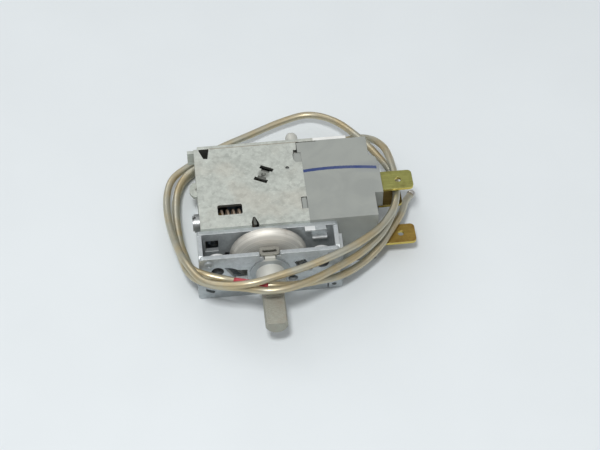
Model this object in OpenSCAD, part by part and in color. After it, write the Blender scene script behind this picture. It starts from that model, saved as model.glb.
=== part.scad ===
// Refrigerator thermostat with a cam shaft, a vapour bellows and a changeover switch.
// The origin is the shaft's axis at the outer face of the mounting plate.
// +X runs towards the terminals, the shaft points along -Y, and +Z is up as the part lies.

/* [Steel case] */
// Distance from the shaft's axis to the outer face of the left wall
case_left = 17.6; // [17.2:0.1:19]
// Distance from the shaft's axis to the seam between steel and plastic
seam_x = 11.6; // [11.2:0.1:12.4]
// Distance from the mounting plate's outer face to the front of the case
case_front = 8.6; // [8.4:0.1:9.4]
// Depth of the case from its front to its back wall
case_depth = 28; // [27.6:0.1:32]
// Height of the case above the shaft's axis
case_top = 9.5; // [9.3:0.1:12]
// Depth of the case below the shaft's axis
case_base = 9.8; // [9.8:0.1:12]
// Thickness of the case's sheet steel
sheet = 1; // [0.8:0.05:1.1]

/* [Mounting bracket] */
// Half the width of the mounting plate
plate_half = 18.8; // [18.2:0.1:19.4]
// Height of the mounting plate above the shaft's axis
plate_top = 7.2; // [6.8:0.1:8]
// Thickness of the bracket's sheet steel
bracket_sheet = 1.2; // [1:0.05:1.3]
// Distance between the two tapped mounting holes
screw_spacing = 28; // [27:0.5:30]
// Radius of the tapped mounting holes at their core
screw_hole_r = 1.65; // [1.4:0.05:1.8]
// Height of the mounting holes above the shaft's axis
screw_hole_z = 1.6; // [1:0.1:2.4]

/* [Cam shaft] */
// Radius of the shaft
shaft_r = 3; // [2.8:0.05:3.1]
// Length of the shaft in front of the mounting plate
shaft_reach = 18.4; // [16:0.2:30]
// Length of the flat on the shaft
flat_length = 8.4; // [6:0.2:9]
// Height of the flat above the shaft's axis
flat_height = 1.6; // [1.2:0.1:2.2]
// Outer radius of the cam cup
cam_r = 10.4; // [10:0.1:10.5]
// Wall of the cam cup
cam_wall = 1.3; // [1.1:0.05:1.4]
// Rise of the cam over one turn
cam_rise = 0.8; // [0.6:0.02:0.9]

/* [Spring and lever] */
// Mean radius of the range spring
spring_r = 2.75; // [2.6:0.05:3]
// Radius of the spring's wire
spring_wire_r = 0.42; // [0.3:0.02:0.5]
// Distance between the spring's turns
spring_pitch = 1.65; // [1.5:0.05:1.9]
// Height of the range spring's axis
spring_z = 4.2; // [3.8:0.1:4.6]
// Distance from the plate's outer face to the spring's axis
spring_y = 15; // [14.8:0.1:15.4]
// Radius of the lever's pivot pin
pivot_r = 1.5; // [1.2:0.05:1.7]
// Radius of the bellows cup
cup_r = 7.6; // [7:0.1:7.8]

/* [Switch] */
// Distance from the shaft's axis to the right face of the switch case
switch_right = 30; // [29.4:0.1:31.5]
// Wall of the switch case
switch_wall = 1.5; // [1.2:0.1:1.8]
// Width of the push-on terminals
tab_width = 6.3; // [4.8:0.1:6.3]
// Thickness of the push-on terminals
tab_sheet = 0.8; // [0.5:0.05:0.9]
// How far the upper and lower terminals stand out of the switch case
tab_reach = 11; // [8:0.1:14]
// Gap between the open contacts
contact_gap = 0.6; // [0.5:0.05:0.8]

/* [Capillary tube] */
// Outer diameter of the capillary tube
capillary_d = 2; // [1.6:0.1:2]
// Diameter of the sealed bead at the tube's end
bead_d = 2.6; // [2.4:0.1:3]

/* [Hidden] */

$fn = 48;
eps = 0.01;
// Running clearance between a pin and its bore
run = 0.05;
// Clearance between parts that slide past each other
slip = 0.1;

case_back = case_front + case_depth;
case_height = case_top + case_base;
wall_back = case_back + sheet;
floor_z = -case_base;
floor_top = floor_z + sheet;
roof_z = case_top - sheet;
channel_back = case_front - bracket_sheet;
screw_x = screw_spacing / 2;

bush_r = 3.9;
bush_flange_r = 5.4;
bush_flange = 0.5;
bush_reach = 6;
notch_half = 2.8;
tongue_half = 1.4;
clip_head_z = 6.5;
foot_out = 0.7;
foot_top = -3.8;
groove_y = bracket_sheet + 0.75;
groove_w = 0.7;
groove_r = shaft_r - 0.8;
journal_r = shaft_r - run;
milled_r = shaft_r - 0.02;
stop_groove_w = 0.7;
stop_groove_r = shaft_r - 0.6;
hub_y = groove_y + groove_w + 0.2;
cam_face = channel_back - 0.6;
cam_ring_w = cam_wall + 0.1;
tail_r = 2;

follower_x = -14.2;
follower_y = 11.9;
follower_pin_r = 1;
nose_x = -(cam_r - cam_ring_w / 2);
cam_flat = case_base - slip;
nose_z = -1.5;
nose_w = 1.3;
nose_h = 1.4;
arm_x = -(case_left - sheet - 0.5);
screw_shank_r = 1.5;
screw_head_r = 2.5;
screw_reach = 1.9;
nut_x = arm_x + 2.5;
nut_w = 2.6;
spring_start = nut_x + 0.3;

pivot_x = 7.4;
pivot_y = 27.6;
lever_sheet = 1.2;
lever_z = -4;
tab_x = 3;
pin_y = 16.5;
pin_z = 2;
pin_r = 1.2;
bellows_x = -6;
bellows_z = -0.5;
bellows_r = 6;
lever_back = pivot_y - 0.2;

diff_x = 9.8;
diff_z = 7.2;
diff_r = 1;
diff_head_r = 1.7;
diff_neck = 2.4;

switch_front = case_front;
cover_w = 1.4;
cavity_front = switch_front + switch_wall;
cavity_back = case_back - switch_wall;
cavity_top = case_top - 1.2;
cavity_base = floor_z + switch_wall;
block_right = switch_right + 2.3;
terminal_right = switch_right + tab_reach;
upper_y = 18.3;
lower_y = 8.8;
upper_z = 7.2;
middle_z = upper_z - 6.8;
lower_z = middle_z - 4.8;
hole_inset = 4;
blade_x = 17.9;
blade_t = 0.3;
blade_y = 22.4;
contact_y = 12.2;
contact_r = 1.4;
contact_h = 0.8;

neck_z = -5.5;
neck_r = 1.6;
neck_reach = 1.4;

steel = "silver";
zinc = "darkgray";
plastic = "dimgray";
brass = "goldenrod";
copper = "peru";

// Points along the middle of the capillary tube, from the neck round three turns to the sealed end
route = [
    [-6, 39, -5.5], [-6, 40.2, -5.5], [-6.6, 43, -6.4], [-10, 45.4, -7.8], [-15.8, 45, -8.6],
    [-21, 40.8, -8.7], [-23.6, 34, -8.7], [-24.2, 26, -8.6], [-24.1, 17.6, -7.2], [-23.2, 9.8, -4.4],
    [-21.6, 2.8, -1.6], [-18.8, -2.3, 1.3], [-14, -6.1, 3.4], [-8, -8.6, 5.2], [-1.6, -11.2, 6.4],
    [4.4, -10.6, 6.2], [10.8, -7.6, 5], [17.6, -3.4, 3.8], [24.8, 1.8, 2.6], [31, 7.8, 2.3],
    [34.6, 14, 2.5], [36.6, 20.6, 2.8], [36.4, 29.6, 1.6], [33.6, 39.2, -1], [29, 47.2, -1.6],
    [23.6, 55.4, -3.8], [16.6, 59.4, -5], [8.6, 57.8, -5.3], [-0.8, 53.8, -5.4], [-10.4, 49.4, -5.4],
    [-18.8, 44, -5.4], [-24, 39.4, -5.4], [-26, 32.8, -5.4], [-26, 23.6, -4], [-24.6, 12.8, -0.6],
    [-22.3, 2, 4.5], [-18.4, -5.4, 5.7], [-12.5, -8.5, 6.7], [-5.6, -9.7, 8.3], [1.8, -8, 8.4],
    [9.4, -5.6, 8.2], [17.2, -2.4, 8], [24, 1.6, 7.2], [30.2, 7, 6], [34.8, 13.6, 5.4],
    [36.6, 20.8, 5.1], [36.8, 29.8, 4], [35.8, 39.2, 1.4], [32.4, 47.2, -3.4], [26.6, 49.6, -6.2],
    [18, 46.8, -6.6], [8, 43, -5], [-3, 41.2, -2.2], [-12, 42.2, -3], [-18.8, 40.8, -4.6],
    [-22.6, 35, -5], [-23.7, 26, -4.8], [-23.2, 15, -3.2], [-22, 7, -0.6], [-20.8, 1.1, 2.5],
    [-17.6, -2.2, 3.9], [-12, -4.2, 3.5], [-6, -7.2, 4.9], [0.3, -8.8, 5.3], [6.2, -7.4, 3],
    [12.2, -4.6, 0], [19, -1.8, -2], [25.4, 2.8, -3.4], [30.4, 7, -2.5], [34.2, 12, -2],
    [38, 18.4, -3], [40, 23.6, -4.4], [41.8, 26.7, -5.7]];

// Turns a flat outline in X and Z into a sheet that starts at y and is t thick
module facing_y(y, t) {
    translate([0, y + t, 0]) rotate([90, 0, 0]) linear_extrude(t) children();
}

// Turns a flat outline in Y and Z into a sheet that starts at x and is t thick
module facing_x(x, t) {
    translate([x, 0, 0]) rotate([90, 0, 90]) linear_extrude(t) children();
}

// Turns a flat outline in X and Y into a sheet that starts at z and is t thick
module facing_z(z, t) {
    translate([0, 0, z]) linear_extrude(t) children();
}

// A rod along Y between two distances
module rod_y(r, y0, y1) {
    translate([0, y0, 0]) rotate([-90, 0, 0]) cylinder(r = r, h = y1 - y0);
}

// A rod along X between two distances
module rod_x(r, x0, x1) {
    translate([x0, 0, 0]) rotate([0, 90, 0]) cylinder(r = r, h = x1 - x0);
}

// A block between two corners
module block(low, high) {
    translate(low) cube(high - low);
}

// A flat rectangle between two corners
module flat(low, high) {
    translate(low) square(high - low);
}

// A flat rectangle with round corners
module rounded(low, high, r) {
    hull_x = [low[0] + r, high[0] - r];
    hull_y = [low[1] + r, high[1] - r];
    flat([low[0], hull_y[0]], [high[0], hull_y[1]]);
    flat([hull_x[0], low[1]], [hull_x[1], high[1]]);
    for (x = hull_x, y = hull_y) translate([x, y]) circle(r);
}

// Openings of the mounting plate, seen from the front
module plate_openings() {
    for (side = [-1, 1]) translate([side * screw_x, screw_hole_z]) circle(screw_hole_r);
    polygon([[-12.2, 2.9], [-11.2, 3], [-9.8, 2.5], [-8.4, 1.5], [-6.1, 1.5], [-6.1, -2.6], [-9.2, -2.6],
        [-10, -0.9], [-11.4, 1.5]]);
    polygon([[6.5, 3.1], [9.3, 3.9], [11.4, -0.2], [11.2, -1.5], [7.6, -0.6]]);
    translate([6.1, -3.9]) circle(1.3);
    polygon([[-17.5, -5.4], [-14.9, -6.8], [-15.3, -7.9], [-17.3, -6.6]]);
    translate([17.3, -8]) circle(0.6);
    translate([15.3, 4.7]) square([1.9, 1.5]);
    flat([-tongue_half - 0.3, 0], [tongue_half + 0.3, plate_top + eps]);
    flat([-notch_half, clip_head_z - 0.2], [notch_half, plate_top + eps]);
    circle(bush_r);
}

// Front plate, two side walls and back wall of the bracket's channel, folded from one sheet
module mounting_bracket() {
    color(steel) {
        difference() {
            union() {
                facing_y(0, bracket_sheet) difference() {
                    union() {
                        rounded([-plate_half, floor_z], [plate_half, plate_top], 1.2);
                        rounded([-plate_half - foot_out, floor_z], [plate_half + foot_out, foot_top], 1.2);
                    }
                    plate_openings();
                    flat([15.4, floor_z - eps], [15.8, floor_z + 2.2]);
                }
                for (side = [-1, 1]) {
                    translate([side * screw_x, 0, screw_hole_z]) rod_y(screw_hole_r + 1.1, bracket_sheet / 2, 4);
                    side_wall(side);
                }
                back_wall();
                translate([-16.3, 0, 4.8]) rod_y(1.3, -0.4, 0.2);
            }
            for (side = [-1, 1]) translate([side * screw_x, 0, screw_hole_z]) rod_y(screw_hole_r, -1, 5);
            translate([-16.3, 0, 4.8]) rod_y(0.7, -1, -0.1);
        }
    }
}

// Side wall of the channel, lower at the back than the front plate is
module side_wall(side) {
    x = side < 0 ? -plate_half : plate_half - bracket_sheet;
    facing_x(x, bracket_sheet) polygon([[0.6, -3], [0.6, plate_top - 0.6], [1.4, plate_top],
        [case_front - 0.6, plate_top + 1], [case_front - 0.6, -6], [3.4, -6]]);
    if (side > 0) {
        facing_x(plate_half, 0.9) polygon([[1.4, 0], [1.4, plate_top - 1.4], [5.6, plate_top - 0.6], [5.6, 0]]);
    }
}

// Back wall of the channel, with the follower's slot, the shaft's tail bearing and two lanced tabs
module back_wall() {
    facing_y(channel_back, bracket_sheet) difference() {
        rounded([-plate_half, floor_z], [plate_half, case_top - 1], 0.8);
        flat([-16.7, 1.2], [-13.2, 5.6]);
        flat([nose_x - 1.9, nose_z - 1.7], [nose_x + 1.9, nose_z + 1.7]);
        circle(tail_r + run);
        for (p = rivet_places()) translate(p) circle(0.9);
    }
    block([10, channel_back - 1.4, case_top - 1.6], [15.6, channel_back + 0.2, case_top - 1]);
    block([12, channel_back - 1.2, 4.2], [16, channel_back + 0.2, 4.9]);
}

function rivet_places() = [[-14.5, floor_z + 3.6], [9.8, floor_z + 2.6]];

// Floor, left wall and back wall of the case, folded from one sheet
module housing_frame() {
    color(steel) {
        difference() {
            facing_z(floor_z, sheet) flat([-case_left, case_front], [seam_x, wall_back]);
            translate([follower_x, follower_y, floor_z - 1]) cylinder(r = follower_pin_r, h = 3);
            translate([pivot_x, pivot_y, floor_z - 1]) cylinder(r = pivot_r, h = 3);
        }
        facing_x(-case_left, sheet) difference() {
            flat([case_front, floor_top - eps], [wall_back, roof_z]);
            translate([spring_y, spring_z]) circle(screw_head_r + 0.6);
            flat([26.8, -0.5], [32, 0.3]);
        }
        facing_y(case_back, sheet) difference() {
            union() {
                flat([-case_left + sheet - eps, floor_z], [seam_x + 13, case_top]);
                flat([-case_left - 1.8, 3.4], [-case_left + sheet, roof_z - 0.4]);
            }
            translate([bellows_x, neck_z]) circle(neck_r);
            translate([diff_x, diff_z]) circle(diff_r);
        }
        lance_tab();
        difference() {
            block([-case_left + sheet - eps, case_front, floor_top - eps], [-12, case_front + sheet, floor_z + 8.3]);
            place_rivets() rod_y(0.9, -1, 5);
        }
        difference() {
            block([8, case_front, floor_top - eps], [seam_x, case_front + sheet, floor_z + 6.2]);
            place_rivets() rod_y(0.9, -1, 5);
        }
    }
}

// Small curved tab that is lanced out of the left wall
module lance_tab() {
    translate([-case_left + 0.2, 29.4, 0.3]) difference() {
        intersection() {
            translate([-2.2, -2.5, 0]) cube([2.2, 5, 0.9]);
            translate([1.2, 0, 0]) cylinder(r = 3.4, h = 0.9);
        }
        translate([0, 0, -eps]) cylinder(r = 0.5, h = 1);
    }
}

module place_rivets() {
    for (p = rivet_places()) translate([p[0], case_front, p[1]]) children();
}

// Two rivets that hold the bracket to the case's frame
module bracket_rivets() {
    color(zinc) for (p = rivet_places()) translate([p[0], 0, p[1]]) {
        rod_y(0.9, channel_back - eps, case_front + sheet + eps);
        rod_y(1.6, channel_back - 0.5, channel_back);
        rod_y(1.5, case_front + sheet, case_front + sheet + 0.3);
    }
}

// Rectangle of the lanced bridge in the top plate, turned as it is pressed
module bridge_frame() {
    translate([0.8, 25.95]) rotate(-26.6) children();
}

// Flat cover of the case with its slots, notches and the lanced bridge
module top_plate() {
    color(steel) {
        difference() {
            facing_z(roof_z, sheet) difference() {
                polygon([[-case_left, case_front], [seam_x, case_front], [seam_x, 12.8], [seam_x - 1.6, 12.8],
                    [seam_x - 1.6, 16.9], [seam_x, 16.9], [seam_x, 29.3], [seam_x - 1.7, 29.4],
                    [seam_x - 2.2, 30.4], [seam_x - 2.3, 31.9], [seam_x - 2, 33], [seam_x - 2, 33.8],
                    [seam_x - 1.1, 33.8], [seam_x - 1, case_back], [-case_left, case_back]]);
                rounded([-12.6, spring_y - 2.2], [-6, spring_y + 1.3], 0.5);
                polygon([[-16.2, case_back + 1], [-13.5, case_back + 1], [-13.5, 36], [-14, 33], [-15.1, 33.1],
                    [-16.2, 36]]);
                polygon([[-3.9, case_front - 1], [-3.9, 9.6], [-3.4, 11.4], [-2.9, 11.4], [-2, 9.2],
                    [-2, case_front - 1]]);
                bridge_frame() {
                    square([3.3, 5.4], center = true);
                    for (side = [-1, 1]) translate([0, side * 2.15]) square([3.8, 1.2], center = true);
                }
            }
            translate([pivot_x, pivot_y, roof_z - 1]) cylinder(r = 0.5, h = 3);
        }
        bridge();
        facing_z(roof_z, 0.6) polygon([[-3.4, 9.1], [-3.4, 11.5], [-2.9, 11.5], [-2.5, 9.1]]);
    }
}

// Raised strap between two short slots, with a punch mark
module bridge() {
    difference() {
        translate([0, 0, roof_z]) linear_extrude(sheet) bridge_frame() square([3.32, 3.1], center = true);
        translate([0, 0, case_top + 0.4]) bridge_frame() sphere(r = 0.8, $fn = 24);
        for (side = [-1, 1]) {
            translate([0, 0, case_top - 0.25]) linear_extrude(1) bridge_frame()
                translate([0, side * 1.25]) square([2.4, 0.7], center = true);
        }
    }
}

// Bush of the shaft, pressed into the mounting plate, with a tongue in the plate's open notch
module front_bush() {
    color(zinc) difference() {
        union() {
            rod_y(bush_r, -bush_reach, groove_y - slip);
            rod_y(bush_flange_r, -bush_flange, 0);
            block([-tongue_half, -bush_flange, 0], [tongue_half, bracket_sheet + 0.3, clip_head_z - slip]);
        }
        rod_y(shaft_r, -bush_reach - 1, bracket_sheet + 2);
    }
}

// Height of the cam's face at an angle round the shaft, in degrees from the follower's nose
function cam_height(a) = cam_face + cam_rise * a / 360;

// Ramp of the face cam, in flat steps round the rim, with a gap on the far side
module cam_ramp() {
    steps = 31;
    start = -160;
    outer = cam_r - slip;
    inner = outer - cam_ring_w;
    base = cam_face - 1.2;
    ring = [for (i = [0:steps]) let (a = start + i * 332 / steps, y = cam_height(a))
        each [[-inner * cos(a), base, -inner * sin(a)], [-outer * cos(a), base, -outer * sin(a)],
            [-outer * cos(a), y, -outer * sin(a)], [-inner * cos(a), y, -inner * sin(a)]]];
    sides = [for (i = [0:steps - 1], k = [0:3])
        [4 * i + k, 4 * i + 4 + k, 4 * i + 4 + (k + 1) % 4, 4 * i + (k + 1) % 4]];
    last = [for (k = [3:-1:0]) 4 * steps + k];
    polyhedron(points = ring, faces = concat(sides, [[0, 1, 2, 3], last]), convexity = 4);
}

// Shaft, domed cam cup and tail journal, cast in one piece; the cup's rim is flat where it faces the base
module cam_shaft() {
    steps = 14;
    rim = cam_face - 0.7;
    rise = rim - hub_y;
    outer = [for (i = [0:steps]) let (t = 90 * i / steps)
        [shaft_r + 0.3 + (cam_r - shaft_r - 0.3) * sin(t), rim - rise * cos(t)]];
    inner = [for (i = [steps:-1:0]) let (t = 90 * i / steps)
        [shaft_r + 0.3 + (cam_r - cam_wall - shaft_r - 0.3) * sin(t), rim - (rise - cam_wall) * cos(t)]];
    bush_end = -bush_reach - 0.2;
    flat_end = -shaft_reach + flat_length;
    profile = concat([[0, -shaft_reach], [milled_r - 0.6, -shaft_reach], [milled_r, -shaft_reach + 0.6],
        [milled_r, flat_end], [shaft_r, flat_end], [shaft_r, bush_end - stop_groove_w],
        [stop_groove_r, bush_end - stop_groove_w], [stop_groove_r, bush_end], [journal_r, bush_end], [journal_r, groove_y],
        [groove_r, groove_y], [groove_r, hub_y - 0.2], [shaft_r, hub_y - 0.2],
        [shaft_r + 0.3, hub_y]], outer, inner, [[shaft_r, hub_y + cam_wall], [shaft_r, channel_back - slip],
        [tail_r, channel_back - slip], [tail_r, case_front + 0.7], [tail_r - 0.3, case_front + 1], [0, case_front + 1]]);
    color(zinc) {
        difference() {
            union() {
                rotate([-90, 0, 0]) rotate_extrude($fn = 72) polygon(profile);
                cam_ramp();
            }
            block([-5, -shaft_reach - 1, flat_height], [5, -shaft_reach + flat_length, 5]);
            block([-cam_r, hub_y, -cam_r - 1], [cam_r, channel_back, -cam_flat]);
        }
    }
}

// Spring clip in the shaft's groove, with a head bent over into the plate's notch
module retaining_clip() {
    clip_y = groove_y + 0.05;
    color(steel) {
        facing_y(clip_y, groove_w - slip) difference() {
            union() {
                circle(bush_r + 0.5);
                flat([-1.5, 0], [1.5, clip_head_z + 0.3]);
            }
            circle(groove_r + run);
            flat([-groove_r - run, -bush_r - 2], [groove_r + run, 0]);
        }
        facing_z(clip_head_z, 0.7) difference() {
            rounded([-notch_half + 0.15, 0.1], [notch_half - 0.15, clip_y + groove_w - slip], 0.6);
            rounded([-1.9, 0.85], [1.9, 1.75], 0.4);
        }
    }
}

// Bell crank that the cam's face pushes through the back wall of the channel
module cam_follower() {
    nose_tip = cam_height(asin(nose_z / nose_x)) + 0.08;
    color(steel) {
        difference() {
            union() {
                translate([follower_x, follower_y, floor_top + slip]) cylinder(r = 1.9, h = 0.2 - floor_top);
                facing_z(nose_z - nose_h / 2, nose_h) follower_outline(nose_tip);
                facing_x(arm_x, 1) difference() {
                    flat([11, nose_z - nose_h / 2], [spring_y + 2.2, spring_z + 2.4]);
                    translate([spring_y, spring_z]) circle(screw_shank_r + run);
                }
            }
            translate([follower_x, follower_y, floor_z]) cylinder(r = follower_pin_r + run, h = case_height);
        }
    }
}

module follower_outline(nose_tip) {
    polygon([[nose_x - nose_w / 2, nose_tip + 0.3], [nose_x - nose_w / 2 + 0.3, nose_tip],
        [nose_x + nose_w / 2 - 0.3, nose_tip], [nose_x + nose_w / 2, nose_tip + 0.3], [nose_x + nose_w / 2, 11.4],
        [follower_x + 1.6, 13.3], [arm_x + 1, 16.6], [arm_x, 16.6], [arm_x, 11], [follower_x - 0.4, 10.1],
        [nose_x - nose_w / 2, 10.2]]);
}

module follower_pin() {
    color(zinc) translate([follower_x, follower_y, 0]) {
        translate([0, 0, floor_z]) cylinder(r = follower_pin_r, h = 0.9 - floor_z);
        translate([0, 0, 0.5]) cylinder(r = 0.8, h = 0.7);
    }
}

// Slotted screw that sets the spring's pull, seen outside the left wall
module range_screw() {
    head = -case_left - screw_reach;
    color(steel) translate([0, spring_y, spring_z]) difference() {
        union() {
            rod_x(screw_shank_r, arm_x - 0.2, nut_x + nut_w + 0.4);
            rod_x(screw_head_r, head + 0.4, arm_x - slip);
            rod_x(screw_head_r - 0.4, head, head + 0.5);
        }
        block([head - 1, -0.35, -4], [head + 0.9, 0.35, 4]);
    }
}

// Threaded plug in the spring's left end
module spring_nut() {
    color(brass) translate([0, spring_y, spring_z]) difference() {
        union() {
            rod_x(spring_r - spring_wire_r - run, nut_x, nut_x + nut_w);
            rod_x(spring_r - spring_wire_r + 0.5, nut_x - 0.6, nut_x);
        }
        rod_x(screw_shank_r + run, nut_x - 1, nut_x + nut_w + 1);
    }
}

// Point of the spring's wire at a number of turns, with a hook drawn in to the axis at the end
function spring_turns() = floor((tab_x - 1 - spring_start) / spring_pitch * 2) / 2;
function spring_point(t) = let (last = spring_turns(), in = max(0, min(1, (t - last + 0.75) / 0.75)),
    r = spring_r * (1 - in)) [spring_start + t * spring_pitch, r * cos(360 * t), r * sin(360 * t)];

// Ring of points round a path's point, in the plane across the path's direction
function across(d) = let (a = abs(d[2]) < 0.9 ? [0, 0, 1] : [0, 1, 0], u = cross(d, a)) u / norm(u);
function tube_ring(p, d, r, sides) = let (u = across(d), v = cross(d, u))
    [for (k = [0:sides - 1]) p + r * cos(360 * k / sides) * u + r * sin(360 * k / sides) * v];
function heading(path, i) = let (a = path[max(i - 1, 0)], b = path[min(i + 1, len(path) - 1)]) (b - a) / norm(b - a);

// A tube swept along a list of points
module sweep(path, r, sides) {
    n = len(path);
    points = [for (i = [0:n - 1]) each tube_ring(path[i], heading(path, i), r, sides)];
    skin = [for (i = [0:n - 2], k = [0:sides - 1]) let (m = (k + 1) % sides)
        [i * sides + k, (i + 1) * sides + k, (i + 1) * sides + m, i * sides + m]];
    start = [for (k = [0:sides - 1]) k];
    end = [for (k = [sides - 1:-1:0]) (n - 1) * sides + k];
    polyhedron(points = points, faces = concat(skin, [start, end]), convexity = 10);
}

// Pull spring between the nut and the lever
module range_spring() {
    last = spring_turns();
    coil = [for (t = [0:1 / 12:last]) spring_point(t)];
    hook = [[tab_x + lever_sheet + 0.5, 0, 0]];
    color(copper) translate([0, spring_y, spring_z]) sweep(concat(coil, hook), spring_wire_r, 6);
}

// Steel lever that weighs the bellows against the spring and works the switch
module main_lever() {
    color(steel) difference() {
        union() {
            facing_z(lever_z, lever_sheet) polygon([[-9.6, lever_back - 4], [-9.6, lever_back], [3, lever_back + 1],
                [5.6, pivot_y + 2.6], [9.2, pivot_y + 2.6], [10.6, pivot_y + 0.6], [10.6, pivot_y - 2],
                [tab_x + 4.4, 21.4], [tab_x + 1.2, 12.6], [tab_x, 12.6], [tab_x, lever_back - 5]]);
            translate([pivot_x, pivot_y, floor_top + slip]) cylinder(r = pivot_r + 1.1, h = 1 - floor_top);
            facing_x(tab_x, lever_sheet) difference() {
                rounded([12.6, lever_z], [19.4, spring_z + 2.4], 0.8);
                translate([spring_y, spring_z]) circle(spring_wire_r + slip);
            }
            facing_y(lever_back - lever_sheet, lever_sheet)
                rounded([-9.6, lever_z], [bellows_x + 3.6, bellows_z + 3.2], 0.8);
            facing_y(pivot_y - 0.6, lever_sheet) flat([8.5, lever_z + 0.2], [diff_x + 0.8, diff_z + 1]);
        }
        translate([pivot_x, pivot_y, floor_z]) cylinder(r = pivot_r + run, h = case_height);
    }
}

module lever_pin() {
    color(zinc) translate([pivot_x, pivot_y, 0]) {
        translate([0, 0, floor_z]) cylinder(r = pivot_r, h = roof_z - floor_z - slip);
        translate([0, 0, roof_z - slip - eps]) cylinder(r = 0.5, h = 0.6);
    }
}

// A turned shape about the bellows' axis, from an outline of radius and distance
module about_bellows(z = bellows_z) {
    translate([bellows_x, 0, z]) rotate([-90, 0, 0]) rotate_extrude() children();
}

bellows_front = lever_back + 1.7;
button_face = lever_back + run;
cup_mouth = case_back - 5.4;

module bellows_cup() {
    color(zinc) difference() {
        about_bellows() polygon([[0, case_back - 1], [cup_r - 0.8, case_back - 1], [cup_r - 0.8, cup_mouth],
            [cup_r - 0.3, cup_mouth], [cup_r, cup_mouth + 0.4], [cup_r, case_back], [0, case_back]]);
        translate([bellows_x, 0, neck_z]) rod_y(neck_r, case_back - 2, case_back + 1);
    }
}

// Corrugated metal bellows between the cup and the button
module bellows() {
    folds = 4;
    step = (case_back - 1 - bellows_front) / folds;
    outer = [for (i = [0:folds - 1]) let (y = bellows_front + i * step)
        each [[bellows_r - 0.9, y], [bellows_r, y + step * 0.3], [bellows_r, y + step * 0.7]]];
    inner = [for (i = [folds - 1:-1:0]) let (y = bellows_front + i * step)
        each [[bellows_r - 0.4, y + step * 0.65], [bellows_r - 0.4, y + step * 0.35], [bellows_r - 1.3, y + 0.3]]];
    profile = concat([[0, bellows_front]], outer, [[bellows_r - 0.9, case_back - 1], [bellows_r - 1.3, case_back - 1]],
        inner, [[0, bellows_front + 0.3]]);
    color(copper) about_bellows() polygon(profile);
}

module thrust_button() {
    color(zinc) about_bellows() polygon([[0, button_face], [1.4, button_face], [2, button_face + 0.5],
        [2, bellows_front - 0.4], [3, bellows_front - 0.4], [3, bellows_front], [0, bellows_front]]);
}

// Brazed neck that takes the capillary through the back wall
module capillary_neck() {
    color(copper) translate([bellows_x, 0, neck_z]) rotate([-90, 0, 0]) rotate_extrude()
        polygon([[0, case_back - 1], [neck_r, case_back - 1], [neck_r, wall_back + 0.6],
            [capillary_d / 2 + 0.1, wall_back + neck_reach], [0, wall_back + neck_reach]]);
}

// Thin metal tube, bent round the case in three turns
module capillary_tube() {
    color("tan") sweep(route, capillary_d / 2, 8);
}

// Sealed bead at the end of the capillary tube, flat where the tube ends
module capillary_tip() {
    last = len(route) - 1;
    along = heading(route, last);
    inset = sqrt(pow(bead_d, 2) - pow(capillary_d, 2)) / 2;
    color("tan") translate(route[last]) rotate([0, acos(along[2]), atan2(along[1], along[0])]) difference() {
        translate([0, 0, inset]) sphere(r = bead_d / 2);
        translate([-bead_d, -bead_d, -bead_d]) cube([2 * bead_d, 2 * bead_d, bead_d]);
    }
}

// Round-headed screw in the back wall, which stops the lever
module differential_screw() {
    color(steel) translate([diff_x, 0, diff_z]) difference() {
        union() {
            rod_y(diff_r, pivot_y + 0.75, wall_back + 0.1);
            rod_y(diff_head_r, wall_back, wall_back + diff_neck);
            translate([0, wall_back + diff_neck, 0]) sphere(r = diff_head_r, $fn = 48);
        }
        block([-0.3, wall_back + diff_neck + 0.9, -3], [0.3, wall_back + diff_neck + 3, 3]);
    }
}

// Outline of the switch case from above, with its stepped terminal block
module switch_outline() {
    flat([seam_x, switch_front], [switch_right, case_back]);
}

module terminal_block() {
    polygon([[switch_right - 1, 16.4], [block_right, 16.4], [block_right, 26], [block_right - 0.5, 29],
        [switch_right - 0.4, 30.3], [switch_right - 1, 30.3]]);
}

// Moulded case of the switch, open towards the steel case
module switch_case() {
    color(plastic) difference() {
        union() {
            facing_z(floor_z, case_height) switch_outline();
            facing_z(middle_z + 3.2, case_top - middle_z - 3.2) terminal_block();
            block([switch_right - 1, 17.4, floor_z + 1.4], [block_right - 0.9, 29, middle_z + 2]);
            block([switch_right - 1, lower_y + 0.4, lower_z - 1.6], [switch_right + 0.4, lower_y + tab_width + 1, lower_z + 1.3]);
            facing_z(roof_z, 0.3) flat([seam_x - 1.45, 12.95], [seam_x + 1, 16.75]);
            facing_z(roof_z, sheet - 0.2) flat([seam_x - 1.45, 12.95], [seam_x - 0.2, 16.75]);
            facing_z(roof_z, sheet - 0.4) polygon([[seam_x + 1, 29.45], [seam_x - 1.6, 29.55],
                [seam_x - 2.1, 30.5], [seam_x - 2.2, 31.9], [seam_x - 1.9, 32.9], [seam_x + 1, 32.9]]);
            facing_z(roof_z, sheet) flat([seam_x - 0.9, 32.8], [seam_x + 1, case_back]);
        }
        block([seam_x - eps, cavity_front, cavity_base], [switch_right - switch_wall, cavity_back, cavity_top]);
        for (t = [[upper_y, upper_z], [upper_y, middle_z], [lower_y, lower_z]]) {
            block([switch_right - 4, t[0], t[1]], [block_right + 3, t[0] + tab_width, t[1] + tab_sheet]);
        }
        translate([18, case_front, -4]) rod_y(0.9, -1, 0.6);
        moulding_steps();
    }
}

// Shallow steps that the moulding has on its right side, underneath and along the back wall
module moulding_steps() {
    block([switch_right - 0.6, switch_front - 1, floor_z - 1], [switch_right + 1, lower_y + 0, lower_z - 1.6]);
    block([14, switch_front + 4, floor_z - 1], [switch_right - 4, case_back - 4, floor_z + 0.5]);
    block([seam_x - 2, case_back - 0.35, case_top - 0.8], [seam_x + 4.6, case_back + 1, case_top + 1]);
}

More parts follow.
